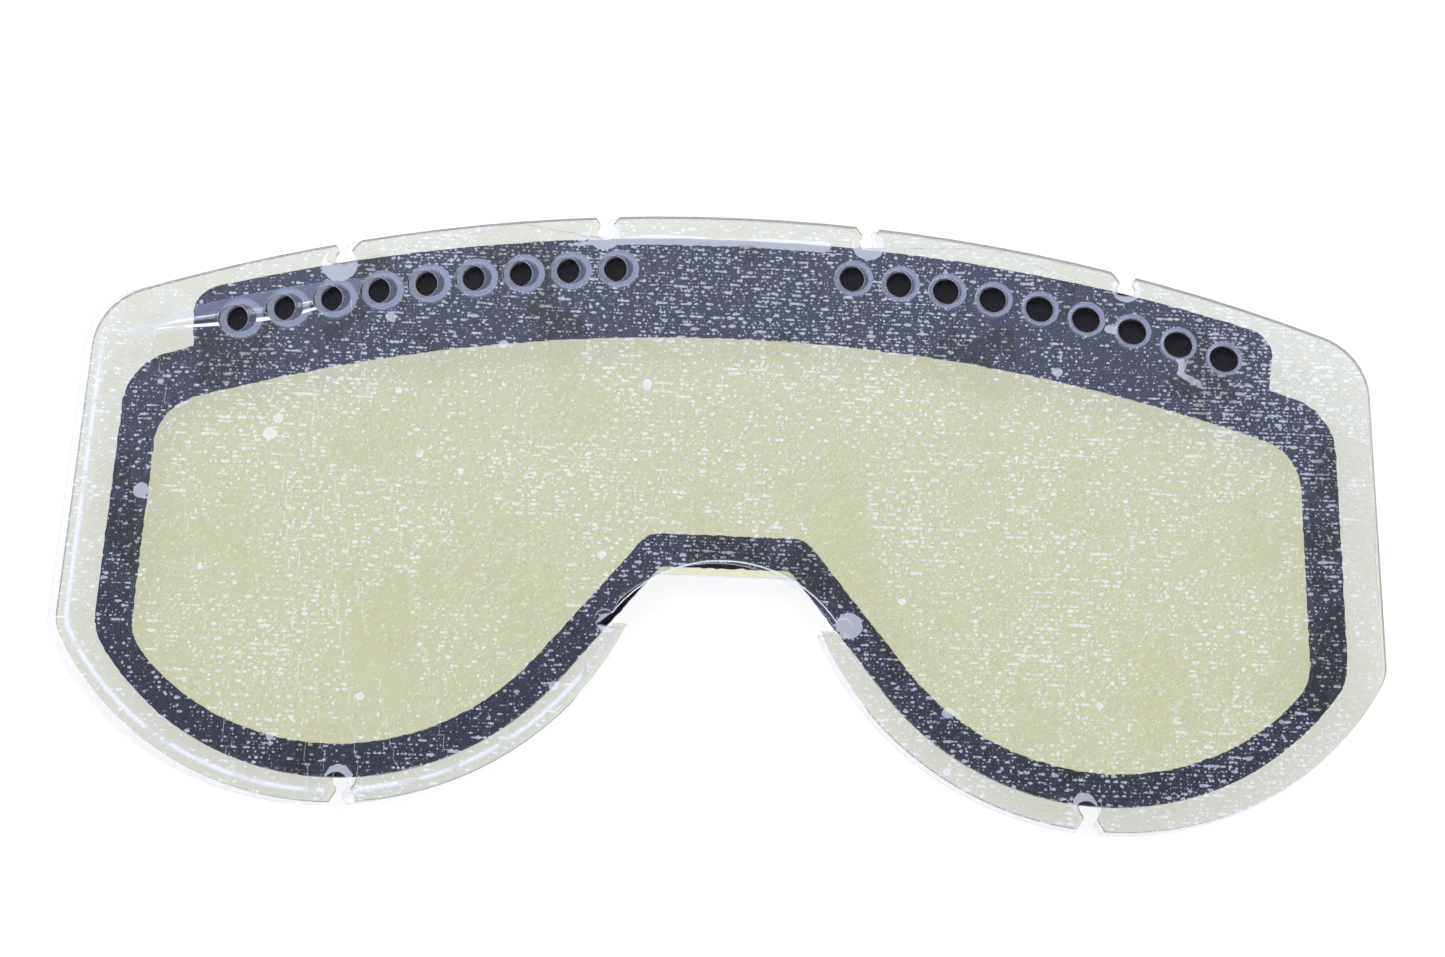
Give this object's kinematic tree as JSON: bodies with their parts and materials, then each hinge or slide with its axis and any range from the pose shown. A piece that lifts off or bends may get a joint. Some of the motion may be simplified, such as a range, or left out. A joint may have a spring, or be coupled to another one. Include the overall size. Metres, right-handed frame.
{
  "type": "vented double-pane goggle lens",
  "caption": "Flat double-pane replacement lens for sports goggles: vented outer pane, foam spacer, inner pane and peel-off masking films.",
  "frame": {"origin": "on the underside, halfway between the side edges and halfway up the outer lens", "axes": "+X across the face, +Y up towards the forehead, +Z out of the outer face"},
  "size_m": [0.1729, 0.084, 0.0046],
  "materials": {
    "masking_film": "thin milky polyethylene film, patchy where it has not wetted the lens",
    "clear_lens": "polished clear polycarbonate with a faint warm tint",
    "tinted_lens": "polished polycarbonate with a yellow-green anti-fog tint",
    "adhesive": "clear acrylic pressure-sensitive adhesive",
    "spacer_foam": "black open-cell urethane foam, die cut"
  },
  "bodies": {
    "lens": {"outer_lens": "clear_lens", "outer_adhesive": "adhesive", "foam_spacer": "spacer_foam", "inner_adhesive": "adhesive", "inner_lens": "tinted_lens"},
    "outer_film": {"outer_masking_film": "masking_film"},
    "inner_film": {"inner_masking_film": "masking_film"}
  },
  "joints": [
    {"name": "outer_film_peel", "type": "slide", "parent": "lens", "child": "outer_film", "axis": [0, 0, 1], "range_m": [0, 0.02]},
    {"name": "inner_film_peel", "type": "slide", "parent": "lens", "child": "inner_film", "axis": [0, 0, -1], "range_m": [0, 0.02]}
  ]
}
